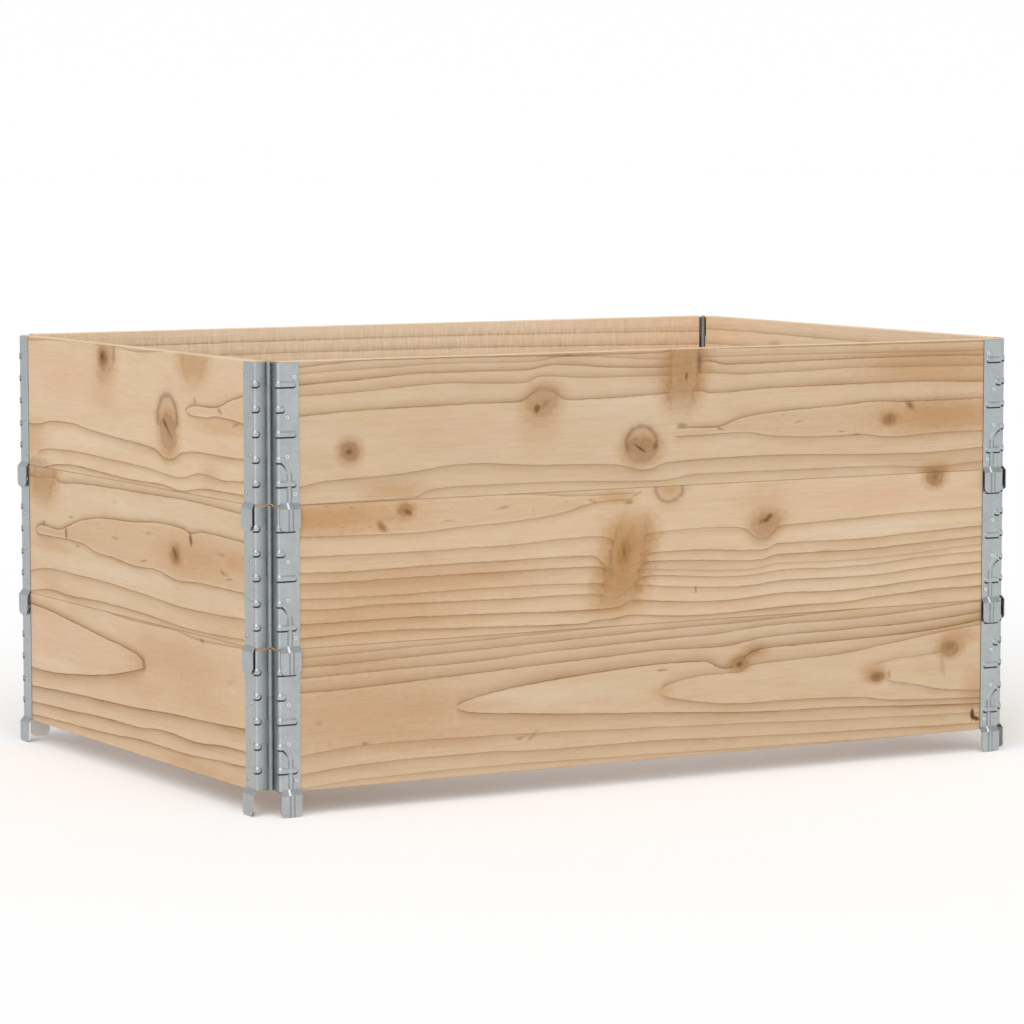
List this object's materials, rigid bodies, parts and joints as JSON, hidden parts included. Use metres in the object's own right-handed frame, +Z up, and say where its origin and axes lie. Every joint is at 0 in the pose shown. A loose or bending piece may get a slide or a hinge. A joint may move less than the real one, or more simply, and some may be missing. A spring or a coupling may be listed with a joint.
{
  "type": "pallet collar stack",
  "caption": "Stack of folding wooden pallet collars: softwood boards joined at the inner corners by pinned, ribbed steel hinge plates with locating tabs.",
  "frame": {"origin": "middle of the stack, on the plane of the lowest tab tips", "axes": "+X along the long boards, +Y from the front board to the back board, +Z up"},
  "size_m": [1.2602, 0.8622, 0.6198],
  "materials": {
    "softwood": "planed, unfinished softwood with knots",
    "galvanised_sheet": "galvanised, satin",
    "pin_steel": "zinc plated, satin",
    "nail_steel": "zinc plated, satin"
  },
  "bodies": {
    "bottom_front": {"bottom_front_board": "softwood", "bottom_front_leaf_left": "galvanised_sheet", "bottom_front_leaf_right": "galvanised_sheet", "bottom_front_nails": "nail_steel", "bottom_pin_front_left": "pin_steel", "bottom_pin_front_right": "pin_steel"},
    "bottom_right": {"bottom_right_board": "softwood", "bottom_right_leaf_front": "galvanised_sheet", "bottom_right_leaf_back": "galvanised_sheet", "bottom_right_nails": "nail_steel"},
    "bottom_back": {"bottom_back_board": "softwood", "bottom_back_leaf_right": "galvanised_sheet", "bottom_back_leaf_left": "galvanised_sheet", "bottom_back_nails": "nail_steel", "bottom_pin_back_right": "pin_steel", "bottom_pin_back_left": "pin_steel"},
    "bottom_left": {"bottom_left_board": "softwood", "bottom_left_leaf_back": "galvanised_sheet", "bottom_left_leaf_front": "galvanised_sheet", "bottom_left_nails": "nail_steel"},
    "middle_front": {"middle_front_board": "softwood", "middle_front_leaf_left": "galvanised_sheet", "middle_front_leaf_right": "galvanised_sheet", "middle_front_nails": "nail_steel", "middle_pin_front_left": "pin_steel", "middle_pin_front_right": "pin_steel"},
    "middle_right": {"middle_right_board": "softwood", "middle_right_leaf_front": "galvanised_sheet", "middle_right_leaf_back": "galvanised_sheet", "middle_right_nails": "nail_steel"},
    "middle_back": {"middle_back_board": "softwood", "middle_back_leaf_right": "galvanised_sheet", "middle_back_leaf_left": "galvanised_sheet", "middle_back_nails": "nail_steel", "middle_pin_back_right": "pin_steel", "middle_pin_back_left": "pin_steel"},
    "middle_left": {"middle_left_board": "softwood", "middle_left_leaf_back": "galvanised_sheet", "middle_left_leaf_front": "galvanised_sheet", "middle_left_nails": "nail_steel"},
    "top_front": {"top_front_board": "softwood", "top_front_leaf_left": "galvanised_sheet", "top_front_leaf_right": "galvanised_sheet", "top_front_nails": "nail_steel", "top_pin_front_left": "pin_steel", "top_pin_front_right": "pin_steel"},
    "top_right": {"top_right_board": "softwood", "top_right_leaf_front": "galvanised_sheet", "top_right_leaf_back": "galvanised_sheet", "top_right_nails": "nail_steel"},
    "top_back": {"top_back_board": "softwood", "top_back_leaf_right": "galvanised_sheet", "top_back_leaf_left": "galvanised_sheet", "top_back_nails": "nail_steel", "top_pin_back_right": "pin_steel", "top_pin_back_left": "pin_steel"},
    "top_left": {"top_left_board": "softwood", "top_left_leaf_back": "galvanised_sheet", "top_left_leaf_front": "galvanised_sheet", "top_left_nails": "nail_steel"}
  },
  "joints": [
    {"name": "bottom_left_fold", "type": "hinge", "parent": "bottom_front", "child": "bottom_left", "pos_m": [-0.60393, -0.40393, 0], "axis": [0, 0, 1], "range_deg": [-89.5, 89.5]},
    {"name": "bottom_right_fold", "type": "hinge", "parent": "bottom_front", "child": "bottom_right", "pos_m": [0.60393, -0.40393, 0], "axis": [0, 0, 1], "range_deg": [-89.5, 89.5]},
    {"name": "bottom_back_fold", "type": "hinge", "parent": "bottom_left", "child": "bottom_back", "pos_m": [-0.60393, 0.40393, 0], "axis": [0, 0, 1], "range_deg": [-89.5, 89.5]},
    {"name": "middle_lift", "type": "slide", "parent": "bottom_front", "child": "middle_front", "axis": [0, 0, 1], "range_m": [0, 0.12]},
    {"name": "middle_left_fold", "type": "hinge", "parent": "middle_front", "child": "middle_left", "pos_m": [-0.60393, -0.40393, 0], "axis": [0, 0, 1], "range_deg": [-89.5, 89.5]},
    {"name": "middle_right_fold", "type": "hinge", "parent": "middle_front", "child": "middle_right", "pos_m": [0.60393, -0.40393, 0], "axis": [0, 0, 1], "range_deg": [-89.5, 89.5]},
    {"name": "middle_back_fold", "type": "hinge", "parent": "middle_left", "child": "middle_back", "pos_m": [-0.60393, 0.40393, 0], "axis": [0, 0, 1], "range_deg": [-89.5, 89.5]},
    {"name": "top_lift", "type": "slide", "parent": "middle_front", "child": "top_front", "axis": [0, 0, 1], "range_m": [0, 0.12]},
    {"name": "top_left_fold", "type": "hinge", "parent": "top_front", "child": "top_left", "pos_m": [-0.60393, -0.40393, 0], "axis": [0, 0, 1], "range_deg": [-89.5, 89.5]},
    {"name": "top_right_fold", "type": "hinge", "parent": "top_front", "child": "top_right", "pos_m": [0.60393, -0.40393, 0], "axis": [0, 0, 1], "range_deg": [-89.5, 89.5]},
    {"name": "top_back_fold", "type": "hinge", "parent": "top_left", "child": "top_back", "pos_m": [-0.60393, 0.40393, 0], "axis": [0, 0, 1], "range_deg": [-89.5, 89.5]}
  ],
  "couplings": [
    {"joint": "bottom_right_fold", "follows": "bottom_left_fold", "ratio": 1},
    {"joint": "bottom_back_fold", "follows": "bottom_left_fold", "ratio": -1},
    {"joint": "middle_left_fold", "follows": "bottom_left_fold", "ratio": 1},
    {"joint": "middle_right_fold", "follows": "bottom_left_fold", "ratio": 1},
    {"joint": "middle_back_fold", "follows": "bottom_left_fold", "ratio": -1},
    {"joint": "top_left_fold", "follows": "bottom_left_fold", "ratio": 1},
    {"joint": "top_right_fold", "follows": "bottom_left_fold", "ratio": 1},
    {"joint": "top_back_fold", "follows": "bottom_left_fold", "ratio": -1}
  ]
}
